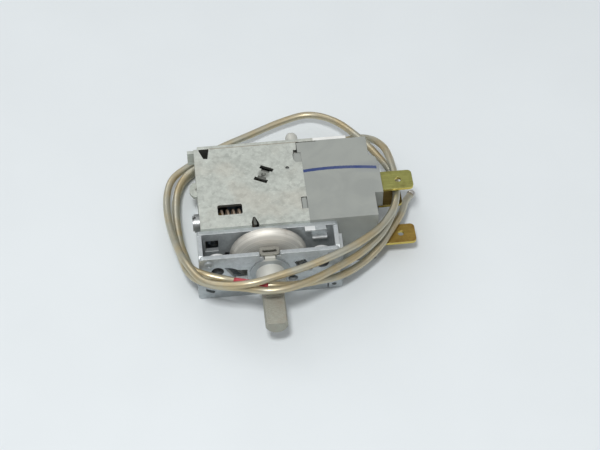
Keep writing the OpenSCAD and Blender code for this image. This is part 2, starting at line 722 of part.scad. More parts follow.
// Insulating plate that closes the switch case, with a hole for the push pin
module switch_cover() {
    color("saddlebrown") facing_x(seam_x, cover_w) difference() {
        flat([cavity_front, cavity_base], [cavity_back, cavity_top]);
        translate([pin_y, pin_z]) circle(pin_r + run);
    }
}

// Insulating pin between the lever and the contact blade
module push_pin() {
    color("ivory") translate([0, pin_y, pin_z]) {
        rod_x(pin_r, tab_x + lever_sheet + run, blade_x - 0.9);
        rod_x(pin_r - 0.5, blade_x - 1, blade_x - run);
    }
}

// Springy blade that carries the moving contact
module contact_blade() {
    color(copper) facing_x(blade_x, blade_t) difference() {
        rounded([contact_y - 1.9, pin_z - 2], [blade_y + 1.8, pin_z + 2], 0.9);
        translate([contact_y, pin_z]) circle(0.7);
        flat([contact_y + 2.4, pin_z + 0.9], [blade_y - 1, pin_z + 1.4]);
    }
}

// Double-headed contact rivet in the blade
module moving_contact() {
    color(steel) translate([0, contact_y, pin_z]) {
        rod_x(contact_r, blade_x - contact_h, blade_x);
        rod_x(0.7, blade_x - eps, blade_x + blade_t + eps);
        rod_x(contact_r, blade_x + blade_t, blade_x + blade_t + contact_h);
    }
}

// Bowed leaf that snaps the blade over
module toggle_spring() {
    color(copper) facing_z(pin_z - 0.6, 1.2)
        polygon(concat([for (i = [0:10]) leaf_point(i / 10, 0)], [for (i = [10:-1:0]) leaf_point(i / 10, 0.2)]));
}

function leaf_point(s, t) = [blade_x + blade_t + 1.6 * sin(180 * s) + t, contact_y + 2.6 + 6.4 * s];

// Contact rivets on the fixed terminals
module front_contact() {
    x = blade_x + blade_t + contact_h + contact_gap;
    color(steel) translate([0, contact_y, pin_z]) rod_x(contact_r, x, x + contact_h);
}

module back_contact() {
    x = blade_x - contact_h - slip;
    color(steel) translate([0, contact_y, pin_z]) rod_x(contact_r, x - contact_h, x);
}

// Flat push-on tab with round corners and a latch hole, drawn from above
module tab_outline(y, x_in, x_out) {
    difference() {
        union() {
            flat([x_in, y], [x_out - 1.2, y + tab_width]);
            rounded([x_out - 3, y], [x_out, y + tab_width], 1.2);
        }
        if (x_out > terminal_right - 1) translate([x_out - hole_inset, y + tab_width / 2]) circle(0.85);
    }
}

// Terminal of the back contact, with a leg down to its rivet
module upper_terminal() {
    x = blade_x - 2 * contact_h - slip - tab_sheet;
    color(brass) {
        facing_z(upper_z, tab_sheet) {
            tab_outline(upper_y, x + 3, terminal_right);
            flat([x, contact_y - 1.8], [x + 3.2, upper_y + tab_width]);
        }
        facing_x(x, tab_sheet) flat([contact_y - 1.8, pin_z - 2], [contact_y + 1.8, upper_z + eps]);
    }
}

// Terminal of the moving contact, with a leg that carries the blade
module middle_terminal() {
    x = blade_x + blade_t;
    color(brass) {
        facing_z(middle_z, tab_sheet) tab_outline(upper_y, x + tab_sheet - eps, switch_right + 8.2);
        facing_x(x, tab_sheet) flat([blade_y, pin_z - 2], [blade_y + 2, pin_z + 2]);
    }
}

// Terminal of the front contact, with a leg up to its rivet
module lower_terminal() {
    x = blade_x + blade_t + 2 * contact_h + contact_gap;
    color(brass) {
        facing_z(lower_z, tab_sheet) {
            tab_outline(lower_y, switch_right - 3.9, terminal_right);
            flat([x, cavity_front + 0.2], [switch_right - 3, lower_y + tab_width]);
        }
        facing_x(x, tab_sheet) flat([contact_y - 1.8, lower_z], [contact_y + 1.8, pin_z + 2]);
    }
}

mounting_bracket();
housing_frame();
top_plate();
front_bush();
cam_shaft();
retaining_clip();
cam_follower();
follower_pin();
range_screw();
spring_nut();
range_spring();
main_lever();
lever_pin();
bellows_cup();
bellows();
thrust_button();
capillary_neck();
capillary_tube();
capillary_tip();
differential_screw();
bracket_rivets();
switch_case();
switch_cover();
push_pin();
contact_blade();
moving_contact();
toggle_spring();
front_contact();
back_contact();
upper_terminal();
middle_terminal();
lower_terminal();
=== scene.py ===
"""Blender scene of a refrigerator thermostat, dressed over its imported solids.

Everything is in metres and in the solids' own frame: the origin is on the shaft's axis at the
mounting plate's outer face, +X runs to the terminals, the shaft points along -Y, and +Z is up.
"""

from __future__ import annotations

import logging
import math
from dataclasses import dataclass, field
from enum import Enum
from typing import Any, Callable, Sequence

import bmesh
import bpy
from mathutils import Matrix, Vector

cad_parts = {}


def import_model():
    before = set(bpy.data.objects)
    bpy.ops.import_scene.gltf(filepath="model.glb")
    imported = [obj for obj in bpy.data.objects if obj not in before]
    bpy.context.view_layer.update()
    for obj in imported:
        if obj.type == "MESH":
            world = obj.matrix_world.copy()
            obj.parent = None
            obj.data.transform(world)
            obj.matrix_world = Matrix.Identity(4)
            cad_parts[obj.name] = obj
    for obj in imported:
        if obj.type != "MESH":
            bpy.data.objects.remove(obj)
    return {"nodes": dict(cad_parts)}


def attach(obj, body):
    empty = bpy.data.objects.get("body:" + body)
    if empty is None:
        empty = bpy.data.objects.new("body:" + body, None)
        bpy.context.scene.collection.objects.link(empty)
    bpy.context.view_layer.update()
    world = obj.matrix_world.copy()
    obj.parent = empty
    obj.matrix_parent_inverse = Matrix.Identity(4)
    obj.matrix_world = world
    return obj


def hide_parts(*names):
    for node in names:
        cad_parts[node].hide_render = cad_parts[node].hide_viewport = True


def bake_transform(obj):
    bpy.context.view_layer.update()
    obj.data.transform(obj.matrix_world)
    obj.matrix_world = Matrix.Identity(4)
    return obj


MM = 0.001
# nearly all values of a noise texture lie between these two
NOISE_LOW, NOISE_HIGH = 0.3, 0.7
# the size of the rough and dirty patches of a finish
PATCH_MM = 6.0
# the grain of a plain finish, which is finer on the real metal and is drawn so that it shows
GRAIN_MM = 0.35
# the noise values at which a patch starts to be dirty and at which it is fully so
GRIME_FROM, GRIME_TO = 0.46, 0.74
# the product of the rounded and the flat normal where an edge starts to be worn and is fully so
EDGE_FROM, EDGE_TO = 0.995, 0.86
# how much smoother and how much rougher a finish is in places
SMOOTHER, ROUGHER = 0.07, 0.09
# light that bare metal adds where an edge is worn, and where a zinc crystal glints
WORN_EDGE = "#6F6F6E"
BRIGHT_SPECK = "#5D5D5B"
log = logging.getLogger("thermostat")

Span = tuple[float, float]
Point = tuple[float, float, float]
Colour = tuple[float, float, float, float]
Socket = bpy.types.NodeSocket


def linear(colour: str) -> Colour:
    """Turn an sRGB hex colour into linear light.

    Args:
        colour: six hex digits with a leading hash.

    Returns:
        Red, green, blue and an alpha of 1, in linear light.
    """
    parts = [int(colour[i : i + 2], 16) / 255 for i in (1, 3, 5)]
    red, green, blue = (
        c / 12.92 if c <= 0.04045 else ((c + 0.055) / 1.055) ** 2.4 for c in parts
    )
    return red, green, blue, 1.0


def per(size_mm: float) -> float:
    """Give a texture scale, in features per metre, for a feature of a size in millimetres."""
    return 1.0 / (size_mm * MM)


def metres(point: Sequence[float]) -> Vector:
    """Give a point in metres from one in millimetres."""
    return Vector(point) * MM


class Canvas:
    """The node tree of a material or a world, emptied and ready for new nodes."""

    def __init__(self, owner: bpy.types.Material | bpy.types.World) -> None:
        """Take over an owner's node tree.

        Args:
            owner: the material or the world to paint.
        """
        owner.use_nodes = True
        self.tree = owner.node_tree
        self.tree.nodes.clear()

    def put(
        self, kind: str, inputs: dict[Any, Any] | None = None, **settings: Any
    ) -> bpy.types.Node:
        """Add one node with its settings and links.

        Args:
            kind: the node's type, such as ShaderNodeMath.
            inputs: sockets by name or number, each with a value or an output to link.
            settings: attributes of the node; stops holds a colour ramp's stops.

        Returns:
            The new node.
        """
        node = self.tree.nodes.new(kind)
        for name, value in settings.items():
            if name == "stops":
                ramp = node.color_ramp.elements
                while len(ramp) < len(value):
                    ramp.new(0.5)
                for stop, (place, shade) in zip(ramp, value):
                    stop.position = place
                    stop.color = shade
            else:
                setattr(node, name, value)
        for name, value in (inputs or {}).items():
            if isinstance(value, Socket):
                self.tree.links.new(value, node.inputs[name])
            else:
                node.inputs[name].default_value = value
        return node

    def between(self, value: Socket, low_mm: float, high_mm: float, soft_mm: float) -> Socket:
        """Make a mask that is one where a place lies between two limits.

        Args:
            value: the place along one direction, in metres.
            low_mm: the lower limit.
            high_mm: the upper limit.
            soft_mm: the width of the soft border.

        Returns:
            The mask's output.
        """
        middle, half = (low_mm + high_mm) / 2, (high_mm - low_mm) / 2
        off = self.put(
            "ShaderNodeMath", {0: value, 1: middle * MM}, operation="SUBTRACT"
        ).outputs["Value"]
        away = self.put("ShaderNodeMath", {0: off}, operation="ABSOLUTE").outputs["Value"]
        return self.put(
            "ShaderNodeMapRange",
            {
                "Value": away,
                "From Min": (half + soft_mm / 2) * MM,
                "From Max": (half - soft_mm / 2) * MM,
            },
            interpolation_type="SMOOTHSTEP",
        ).outputs["Result"]

    def all_of(self, *masks: Any) -> Socket:
        """Make a mask that is one only where every given mask is one.

        Args:
            masks: the outputs or numbers to multiply.

        Returns:
            The product's output.
        """
        product = masks[0]
        for mask in masks[1:]:
            product = self.put(
                "ShaderNodeMath", {0: product, 1: mask}, operation="MULTIPLY"
            ).outputs["Value"]
        return product


class Surface(Canvas):
    """A new material's canvas, with its Principled node and the place on the object in metres."""

    def __init__(self, title: str, values: dict[str, float]) -> None:
        """Start a material.

        Args:
            title: the material's name.
            values: the Principled node's own values, by name.
        """
        self.material = bpy.data.materials.new(title)
        super().__init__(self.material)
        self.shader = self.put("ShaderNodeBsdfPrincipled", values)
        self.put("ShaderNodeOutputMaterial", {"Surface": self.shader.outputs["BSDF"]})
        self.where = self.put("ShaderNodeTexCoord").outputs["Object"]

    def feed(self, name: str, value: Socket) -> None:
        """Link an output to an input of the Principled node, in place of what fed it before."""
        self.tree.links.new(value, self.shader.inputs[name])

    def inside(self, low_mm: Point, high_mm: Point, soft_mm: float) -> Socket:
        """Make a mask that is one inside a box.

        Args:
            low_mm: the box's lowest corner.
            high_mm: its highest corner.
            soft_mm: the width of the soft border.

        Returns:
            The mask's output.
        """
        place = self.put("ShaderNodeSeparateXYZ", {"Vector": self.where}).outputs.values()
        sides = zip(place, low_mm, high_mm)
        return self.all_of(*(self.between(axis, low, high, soft_mm) for axis, low, high in sides))


@dataclass(frozen=True)
class Finish:
    """A surface, named for its real material and the way it was made."""

    title: str
    colour: str
    dark: str
    roughness: float
    metallic: float = 1.0
    bevel_mm: float = 0.12
    soil: float = 0.3

    def material(self) -> bpy.types.Material:
        """Make the material with its nodes.

        Returns:
            The finished material.
        """
        surface = Surface(self.title, {"Metallic": self.metallic})
        self.dress(surface)
        return surface.material

    def dress(self, surface: Surface) -> None:
        """Add this finish's own pattern, which is none on a plain one."""
        self.finish_with(surface, linear(self.colour), 0.02)

    def finish_with(
        self,
        surface: Surface,
        colour: Any,
        depth_mm: float,
        height: Socket | None = None,
        wear: float = 0.5,
    ) -> None:
        """Join colour, rough patches, worn edges and relief to the shader.

        Args:
            surface: the material in the making.
            colour: a colour or a colour output.
            depth_mm: how deep the relief is.
            height: the relief's height, or None for a plain grain.
            wear: how much the edges are worn, from 0 to 1.
        """
        patches = surface.put(
            "ShaderNodeTexNoise",
            {"Vector": surface.where, "Scale": per(PATCH_MM), "Detail": 5.0, "Roughness": 0.6},
        ).outputs["Fac"]
        if height is None:
            height = surface.put(
                "ShaderNodeTexNoise",
                {"Vector": surface.where, "Scale": per(GRAIN_MM), "Detail": 3.0},
            ).outputs["Fac"]
        grime = surface.put(
            "ShaderNodeMapRange",
            {
                "Value": patches,
                "From Min": GRIME_FROM,
                "From Max": GRIME_TO,
                "To Max": self.soil,
            },
            interpolation_type="SMOOTHSTEP",
        ).outputs["Result"]
        soiled = surface.put(
            "ShaderNodeMix", {"Factor": grime, 6: colour, 7: linear(self.dark)}, data_type="RGBA"
        ).outputs[2]
        rounded = surface.put(
            "ShaderNodeBevel", {"Radius": self.bevel_mm * MM}, samples=6
        ).outputs["Normal"]
        flat = surface.put("ShaderNodeNewGeometry").outputs["Normal"]
        # on a flat face both normals agree, and the product falls below one at an edge
        turn = surface.put(
            "ShaderNodeVectorMath", {0: rounded, 1: flat}, operation="DOT_PRODUCT"
        ).outputs["Value"]
        edge = surface.put(
            "ShaderNodeMapRange",
            {"Value": turn, "From Min": EDGE_FROM, "From Max": EDGE_TO, "To Max": wear},
        ).outputs["Result"]
        pale = surface.put(
            "ShaderNodeMix",
            {"Factor": edge, 6: soiled, 7: linear(WORN_EDGE)},
            data_type="RGBA",
            blend_type="ADD",
        ).outputs[2]
        rough = surface.put(
            "ShaderNodeMapRange",
            {
                "Value": patches,
                "From Min": NOISE_LOW,
                "From Max": NOISE_HIGH,
                "To Min": self.roughness - SMOOTHER,
                "To Max": self.roughness + ROUGHER,
            },
        ).outputs["Result"]
        relief = surface.put(
            "ShaderNodeBump",
            {"Strength": 0.6, "Distance": depth_mm * MM, "Height": height, "Normal": rounded},
        ).outputs["Normal"]
        surface.feed("Base Color", pale)
        surface.feed("Roughness", rough)
        surface.feed("Normal", relief)


@dataclass(frozen=True)
class GalvanisedSheet(Finish):
    """Hot-dip galvanised steel sheet: zinc crystals that catch the light one by one."""

    spangle_mm: float = 1.5
    contrast: float = 1.0
    crystal_share: float = 0.42
    darkening: float = 0.42
    lightening: float = 0.14
    cream: str = "#C3BDB0"
    cream_mm: float = 11.0
    cream_share: float = 0.36
    speck_mm: float = 0.5
    speck_share: float = 0.85

    def dress(self, surface: Surface) -> None:
        """Add the spangle: soft clouds of tone, faint crystals and fine bright specks.

        Args:
            surface: the material in the making.
        """
        where = surface.where
        clouds = surface.put(
            "ShaderNodeTexNoise",
            {
                "Vector": where,
                "Scale": per(self.spangle_mm * 1.1),
                "Detail": 2.5,
                "Roughness": 0.55,
            },
        ).outputs
        # the clouds push the crystals' borders about, so that none is straight
        push = (self.spangle_mm * MM * 1.4,) * 3
        bent = surface.put(
            "ShaderNodeVectorMath",
            {0: clouds["Color"], 1: push, 2: where},
            operation="MULTIPLY_ADD",
        ).outputs["Vector"]
        crystal = surface.put(
            "ShaderNodeTexVoronoi", {"Vector": bent, "Scale": per(self.spangle_mm)}
        ).outputs["Color"]
        tone = surface.put("ShaderNodeSeparateColor", {"Color": crystal}).outputs["Red"]
        soft = surface.put(
            "ShaderNodeMapRange",
            {"Value": clouds["Fac"], "From Min": NOISE_LOW, "From Max": NOISE_HIGH},
        ).outputs["Result"]
        mottle = surface.put(
            "ShaderNodeMix", {"Factor": self.crystal_share, 2: soft, 3: tone}, data_type="FLOAT"
        ).outputs[0]
        pale, mid = linear(self.colour), linear(self.dark)
        low = tuple(p + (m - p) * self.darkening * self.contrast for p, m in zip(pale, mid))
        high = tuple(min(1.0, p * (1 + self.lightening * self.contrast)) for p in pale)
        shades = surface.put(
            "ShaderNodeValToRGB", {"Fac": mottle}, stops=((0.05, low), (0.5, pale), (0.95, high))
        ).outputs["Color"]
        wide = surface.put(
            "ShaderNodeTexNoise", {"Vector": where, "Scale": per(self.cream_mm), "Detail": 3.0}
        ).outputs["Fac"]
        warmth = surface.put(
            "ShaderNodeMapRange",
            {"Value": wide, "From Min": 0.48, "From Max": 0.7, "To Max": self.cream_share},
            interpolation_type="SMOOTHSTEP",
        ).outputs["Result"]
        warmed = surface.put(
            "ShaderNodeMix", {"Factor": warmth, 6: shades, 7: linear(self.cream)}, data_type="RGBA"
        ).outputs[2]
        specks = surface.put(
            "ShaderNodeTexNoise",
            {"Vector": where, "Scale": per(self.speck_mm), "Detail": 3.0, "Roughness": 0.6},
        ).outputs["Fac"]
        glint = surface.put(
            "ShaderNodeMapRange",
            {
                "Value": specks,
                "From Min": 0.56,
                "From Max": 0.7,
                "To Max": self.speck_share * self.contrast,
            },
            interpolation_type="SMOOTHSTEP",
        ).outputs["Result"]
        speckled = surface.put(
            "ShaderNodeMix",
            {"Factor": glint, 6: warmed, 7: linear(BRIGHT_SPECK)},
            data_type="RGBA",
            blend_type="ADD",
        ).outputs[2]
        colour, height = self.marked(surface, speckled, specks)
        self.finish_with(surface, colour, 0.02, height, wear=0.6)

    def marked(self, surface: Surface, colour: Socket, height: Socket) -> tuple[Socket, Socket]:
        """Lay a piece's own marks over the spangle, of which a plain sheet has none."""
        return colour, height


@dataclass(frozen=True)
class CaseSheet(GalvanisedSheet):
    """The case's galvanised sheet: a dirty seam behind its cover, a painted highlight along the
    edge beside it, painted shade inside, and a darker bridge.
    """

    top_mm: Span = (9.0, 10.0)
    seam_mm: Span = (36.44, 36.7)
    seam_ends_mm: Span = (-13.6, 11.0)
    seam: str = "#8E8370"
    # a painted highlight: a bright band along the case's back edge, where the edge reflects the
    # light
    edge_highlight_mm: Span = (36.65, 38.1)
    edge_highlight_ends_mm: Span = (15.4, 24.6)
    edge_highlight: str = "#F3F4F1"
    # the inside of the case is painted dark with this colour, as painted shade where little light
    # reaches
    shell_mm: tuple[Point, Point] = ((-16.9, 8.8, -8.7), (11.5, 36.7, 9.42))
    inside_shade: str = "#2E2C28"
    inside_shade_share: float = 0.82
    # the bridge is painted darker towards its middle, and beside it lies a painted shadow spot
    bridge_mm: Point = (0.8, 25.95, 9.3)
    bridge_darkening: str = "#73756F"
    shadow_spot_mm: Point = (0.55, 25.55, 9.4)

    def marked(self, surface: Surface, colour: Socket, height: Socket) -> tuple[Socket, Socket]:
        """Lay the seam, a painted highlight on the edge, painted shade inside the case, a darker
        bridge and a painted shadow spot over the spangle.

        Args:
            surface: the material in the making.
            colour: the spangle's colour.
            height: the spangle's relief.

        Returns:
            The marked colour, and the relief as it was.
        """
        place = surface.put("ShaderNodeSeparateXYZ", {"Vector": surface.where}).outputs
        on_top = surface.between(place["Z"], *self.top_mm, 0.1)
        # each band has its ends, its sides, its colour and how much it covers
        bands = (
            (self.seam_ends_mm, self.seam_mm, self.seam, 0.8),
            (self.edge_highlight_ends_mm, self.edge_highlight_mm, self.edge_highlight, 1.0),
        )
        layers = []
        for ends, across, shade, amount in bands:
            along = surface.between(place["X"], *ends, 0.5)
            over = surface.between(place["Y"], *across, 0.12)
            layers.append((surface.all_of(along, over, on_top, amount), shade))
        # painted shade over the whole inside of the case
        shaded_inside = surface.all_of(surface.inside(*self.shell_mm, 0.06), self.inside_shade_share)
        layers.append((shaded_inside, self.inside_shade))
        # each spot has its centre, outer and inner radius, colour and how much it covers; the first
        # paints the bridge darker towards its middle, the second is a painted shadow spot
        spots = (
            (self.bridge_mm, 2.0, 1.0, self.bridge_darkening, 0.75),
            (self.shadow_spot_mm, 0.75, 0.25, self.inside_shade, 0.75),
        )
        for centre, far, near, shade, amount in spots:
            away = surface.put(
                "ShaderNodeVectorMath",
                {0: surface.where, 1: tuple(metres(centre))},
                operation="DISTANCE",
            ).outputs["Value"]
            dirt = surface.put(
                "ShaderNodeMapRange",
                {"Value": away, "From Min": far * MM, "From Max": near * MM, "To Max": amount},
                interpolation_type="SMOOTHSTEP",
            ).outputs["Result"]
            layers.append((dirt, shade))
        for mask, shade in layers:
            colour = surface.put(
                "ShaderNodeMix", {"Factor": mask, 6: colour, 7: linear(shade)}, data_type="RGBA"
            ).outputs[2]
        return colour, height


@dataclass(frozen=True)
class TappedSheet(GalvanisedSheet):
    """The bracket's galvanised sheet: two tapped holes with drawn collars, and two lanced tabs; the
    collars and tabs carry painted highlights and the holes painted shade.
    """

    holes_mm: tuple[Point, ...] = ((-14.0, 0.0, 1.6), (14.0, 0.0, 1.6))
    hole_radius_mm: float = 1.72
    collar_radius_mm: float = 3.1
    collar_mm: Span = (1.3, 5.0)
    pitch_mm: float = 0.7
    thread_height: float = 8.0
    # the holes are painted dark with this colour, as painted shade
    hole_shade: str = "#35383A"
    hole_shade_share: float = 0.75
    # a painted highlight on the collars round the holes
    drawn: str = "#F6F7F5"
    # a painted highlight on the faces of the two lanced tabs
    tab_highlight: str = "#E4E7E7"
    tab_highlight_mm: tuple[tuple[Point, Point], ...] = (
        ((9.9, 5.9, 7.8), (12.7, 7.38, 8.6)),
        ((11.9, 5.9, 4.1), (16.1, 6.75, 5.0)),
    )

    def marked(self, surface: Surface, colour: Socket, height: Socket) -> tuple[Socket, Socket]:
        """Paint highlights on the collars and the tabs, paint shade in the holes, and lay thread
        lines over the relief in the holes.

        Args:
            surface: the material in the making.
            colour: the spangle's colour.
            height: the spangle's relief.

        Returns:
            The marked colour, and the relief with threads.
        """
        place = surface.put("ShaderNodeSeparateXYZ", {"Vector": surface.where}).outputs
        nearest: Any = 1.0
        for x, _, z in self.holes_mm:
            on_axis = surface.put(
                "ShaderNodeCombineXYZ", {"X": x * MM, "Y": place["Y"], "Z": z * MM}
            ).outputs["Vector"]
            away = surface.put(
                "ShaderNodeVectorMath", {0: surface.where, 1: on_axis}, operation="DISTANCE"
            ).outputs["Value"]
            nearest = surface.put(
                "ShaderNodeMath", {0: nearest, 1: away}, operation="MINIMUM"
            ).outputs["Value"]
        collar = surface.all_of(
            surface.between(nearest, -self.collar_radius_mm, self.collar_radius_mm, 0.1),
            surface.between(place["Y"], *self.collar_mm, 0.1),
        )
        # in a hole, the distance from its axis and the depth are both below their limits
        limits = ((nearest, self.hole_radius_mm), (place["Y"], self.collar_mm[1]))
        in_hole = surface.all_of(
            *(
                surface.put(
                    "ShaderNodeMath", {0: value, 1: limit * MM}, operation="LESS_THAN"
                ).outputs["Value"]
                for value, limit in limits
            )
        )
        # painted highlights on the collars and the tabs, and painted shade in the holes
        layers = [(collar, self.drawn)]
        layers += [(surface.inside(*box, 0.04), self.tab_highlight) for box in self.tab_highlight_mm]
        layers += [(surface.all_of(in_hole, self.hole_shade_share), self.hole_shade)]
        for mask, shade in layers:
            colour = surface.put(
                "ShaderNodeMix", {"Factor": mask, 6: colour, 7: linear(shade)}, data_type="RGBA"
            ).outputs[2]
        half_pitch = self.pitch_mm * MM / 2
        thread = surface.put(
            "ShaderNodeMath", {0: place["Y"], 1: half_pitch}, operation="PINGPONG"
        ).outputs["Value"]
        crest = surface.put(
            "ShaderNodeMapRange",
            {"Value": thread, "From Max": half_pitch, "To Max": self.thread_height},
        ).outputs["Result"]
        threaded = surface.put(
            "ShaderNodeMix", {"Factor": in_hole, 2: height, 3: crest}, data_type="FLOAT"
        ).outputs[0]
        return colour, threaded


@dataclass(frozen=True)
class CamZinc(Finish):
    """Cast zinc: satin on the cam's cup, duller and warmer on the shaft in front of it."""

    shaft_colour: str = "#A6A79C"
    shaft_mm: Span = (-5.5, -6.5)
    shaft_dulling: float = 0.18
    shaft_metallic: float = 0.35
    ring_mm: float = 0.3

    def dress(self, surface: Surface) -> None:
        """Add fine rings round the shaft's axis and the change of colour along it.

        Args:
            surface: the material in the making.
        """
        place = surface.put("ShaderNodeSeparateXYZ", {"Vector": surface.where}).outputs
        across = surface.put(
            "ShaderNodeCombineXYZ", {"X": place["X"], "Z": place["Z"]}
        ).outputs["Vector"]
        reach = surface.put(
            "ShaderNodeVectorMath", {0: across}, operation="LENGTH"
        ).outputs["Value"]
        round_axis = surface.put(
            "ShaderNodeCombineXYZ", {"X": reach, "Y": place["Y"]}
        ).outputs["Vector"]
        # the real rings are finer, and are drawn as coarse as they need to show
        rings = surface.put(
            "ShaderNodeTexNoise",
            {"Vector": round_axis, "Scale": per(self.ring_mm), "Detail": 4.0, "Roughness": 0.7},
        ).outputs["Fac"]
        start, end = self.shaft_mm
        on_shaft = surface.put(
            "ShaderNodeMapRange",
            {"Value": place["Y"], "From Min": start * MM, "From Max": end * MM},
            interpolation_type="SMOOTHSTEP",
        ).outputs["Result"]
        base = surface.put(
            "ShaderNodeMix",
            {"Factor": on_shaft, 6: linear(self.colour), 7: linear(self.shaft_colour)},
            data_type="RGBA",
        ).outputs[2]
        shade = surface.put(
            "ShaderNodeMapRange",
            {
                "Value": rings,
                "From Min": NOISE_LOW,
                "From Max": NOISE_HIGH,
                "To Min": 0.74,
                "To Max": 1.12,
            },
        ).outputs["Result"]
        toned = surface.put(
            "ShaderNodeVectorMath", {0: base, "Scale": shade}, operation="SCALE"
        ).outputs["Vector"]
        self.finish_with(surface, toned, 0.015, rings, wear=0.7)
        cup_roughness = surface.shader.inputs["Roughness"].links[0].from_socket
        duller = surface.put(
            "ShaderNodeMath",
            {0: on_shaft, 1: self.shaft_dulling, 2: cup_roughness},
            operation="MULTIPLY_ADD",
        ).outputs["Value"]
        metal = surface.put(
            "ShaderNodeMapRange",
            {"Value": on_shaft, "To Min": self.metallic, "To Max": self.shaft_metallic},
        ).outputs["Result"]
        surface.feed("Roughness", duller)
        surface.feed("Metallic", metal)


@dataclass(frozen=True)
class BushZinc(Finish):
    """Die-cast zinc bush: matt on its barrel, more metallic on the flange pressed to the plate,
    which is painted darker and bluer as painted shade and reflection.
    """

    # the flange's colour is painted shade and reflection
    flange_shade: str = "#A7ADAF"
    flange_mm: Span = (-0.7, -0.5)
    flange_top_mm: Span = (5.3, 4.9)
    flange_metallic: float = 0.75

    def dress(self, surface: Surface) -> None:
        """Add the change from the barrel to the flange.

        Args:
            surface: the material in the making.
        """
        place = surface.put("ShaderNodeSeparateXYZ", {"Vector": surface.where}).outputs
        borders = ((place["Y"], self.flange_mm), (place["Z"], self.flange_top_mm))
        on_flange = surface.all_of(
            *(
                surface.put(
                    "ShaderNodeMapRange",
                    {"Value": value, "From Min": start * MM, "From Max": end * MM},
                    interpolation_type="SMOOTHSTEP",
                ).outputs["Result"]
                for value, (start, end) in borders
            )
        )
        base = surface.put(
            "ShaderNodeMix",
            {"Factor": on_flange, 6: linear(self.colour), 7: linear(self.flange_shade)},
            data_type="RGBA",
        ).outputs[2]
        metal = surface.put(
            "ShaderNodeMapRange",
            {"Value": on_flange, "To Min": self.metallic, "To Max": self.flange_metallic},
        ).outputs["Result"]
        surface.feed("Metallic", metal)
        self.finish_with(surface, base, 0.02)


@dataclass(frozen=True)
class MouldedGrey(Finish):
    """Injection-moulded filled nylon: matt, finely grained, with a felt pen line over its top."""

    ink: str = "#2A3C70"
    # the line is a parabola over X, given by its bend, its slope and its Y where X is line_mid_mm
    line_curve: tuple[float, float, float] = (-0.0068, -0.0352, 26.2)
    line_mid_mm: float = 21.7
    line_ends_mm: Span = (11.6, 31.6)
    # how far from the line's middle the ink ends and where it is full
    line_edge_mm: Span = (0.695, 0.555)
    line_wobble_mm: float = 0.22
    haze_mm: Span = (2.8, 0.3)
    haze_share: float = 0.16
    smear_mm: Span = (26.0, 34.0)
    top_mm: float = 9.4
    grain_mm: float = 0.3
    flow_mm: float = 9.0

    def dress(self, surface: Surface) -> None:
        """Add the grain, faint flow marks and the pen line.

        Args:
            surface: the material in the making.
        """
        where = surface.where
        place = surface.put("ShaderNodeSeparateXYZ", {"Vector": where}).outputs
        bend, slope, mid_y = self.line_curve
        off = surface.put(
            "ShaderNodeMath",
            {0: place["X"], 1: 1 / MM, 2: -self.line_mid_mm},
            operation="MULTIPLY_ADD",
        ).outputs["Value"]
        steep = surface.put(
            "ShaderNodeMath", {0: off, 1: bend, 2: slope}, operation="MULTIPLY_ADD"
        ).outputs["Value"]
        middle = surface.put(
            "ShaderNodeMath", {0: steep, 1: off, 2: mid_y}, operation="MULTIPLY_ADD"
        ).outputs["Value"]
        beside = surface.put(
            "ShaderNodeMath", {0: place["Y"], 1: -1 / MM, 2: middle}, operation="MULTIPLY_ADD"
        ).outputs["Value"]
        gap = surface.put("ShaderNodeMath", {0: beside}, operation="ABSOLUTE").outputs["Value"]
        wobble = surface.put(
            "ShaderNodeTexNoise", {"Vector": where, "Scale": per(0.5), "Detail": 3.0}
        ).outputs["Fac"]
        ragged = surface.put(
            "ShaderNodeMath",
            {0: wobble, 1: self.line_wobble_mm, 2: gap},
            operation="MULTIPLY_ADD",
        ).outputs["Value"]
        # the ink ends sharply beside the line, and leaves a faint haze further out
        line, haze = (
            surface.put(
                "ShaderNodeMapRange",
                {"Value": ragged, "From Min": far, "From Max": near, "To Max": amount},
                interpolation_type="SMOOTHSTEP",
            ).outputs["Result"]
            for (far, near), amount in ((self.line_edge_mm, 1.0), (self.haze_mm, self.haze_share))
        )
        limits = (
            (place["X"], "GREATER_THAN", self.line_ends_mm[0]),
            (place["X"], "LESS_THAN", self.line_ends_mm[1]),
            (place["Z"], "GREATER_THAN", self.top_mm),
        )
        for value, test, limit in limits:
            held = surface.put(
                "ShaderNodeMath", {0: value, 1: limit * MM}, operation=test
            ).outputs["Value"]
            line = surface.all_of(line, held)
        smear = surface.all_of(haze, surface.between(place["X"], *self.smear_mm, 5.0))
        inked = surface.put(
            "ShaderNodeMath", {0: line, 1: smear}, operation="MAXIMUM"
        ).outputs["Value"]
        flow = surface.put(
            "ShaderNodeTexNoise",
            {"Vector": where, "Scale": per(self.flow_mm), "Detail": 4.0, "Distortion": 1.2},
        ).outputs["Fac"]
        body = surface.put(
            "ShaderNodeValToRGB",
            {"Fac": flow},
            stops=((0.35, linear(self.dark)), (0.62, linear(self.colour))),
        ).outputs["Color"]
        marked = surface.put(
            "ShaderNodeMix", {"Factor": inked, 6: body, 7: linear(self.ink)}, data_type="RGBA"
        ).outputs[2]
        # the mould's real grain is finer, and is drawn as coarse as it needs to show
        grain = surface.put(
            "ShaderNodeTexNoise", {"Vector": where, "Scale": per(self.grain_mm), "Detail": 3.0}
        ).outputs["Fac"]
        self.finish_with(surface, marked, 0.02, grain, wear=0.25)


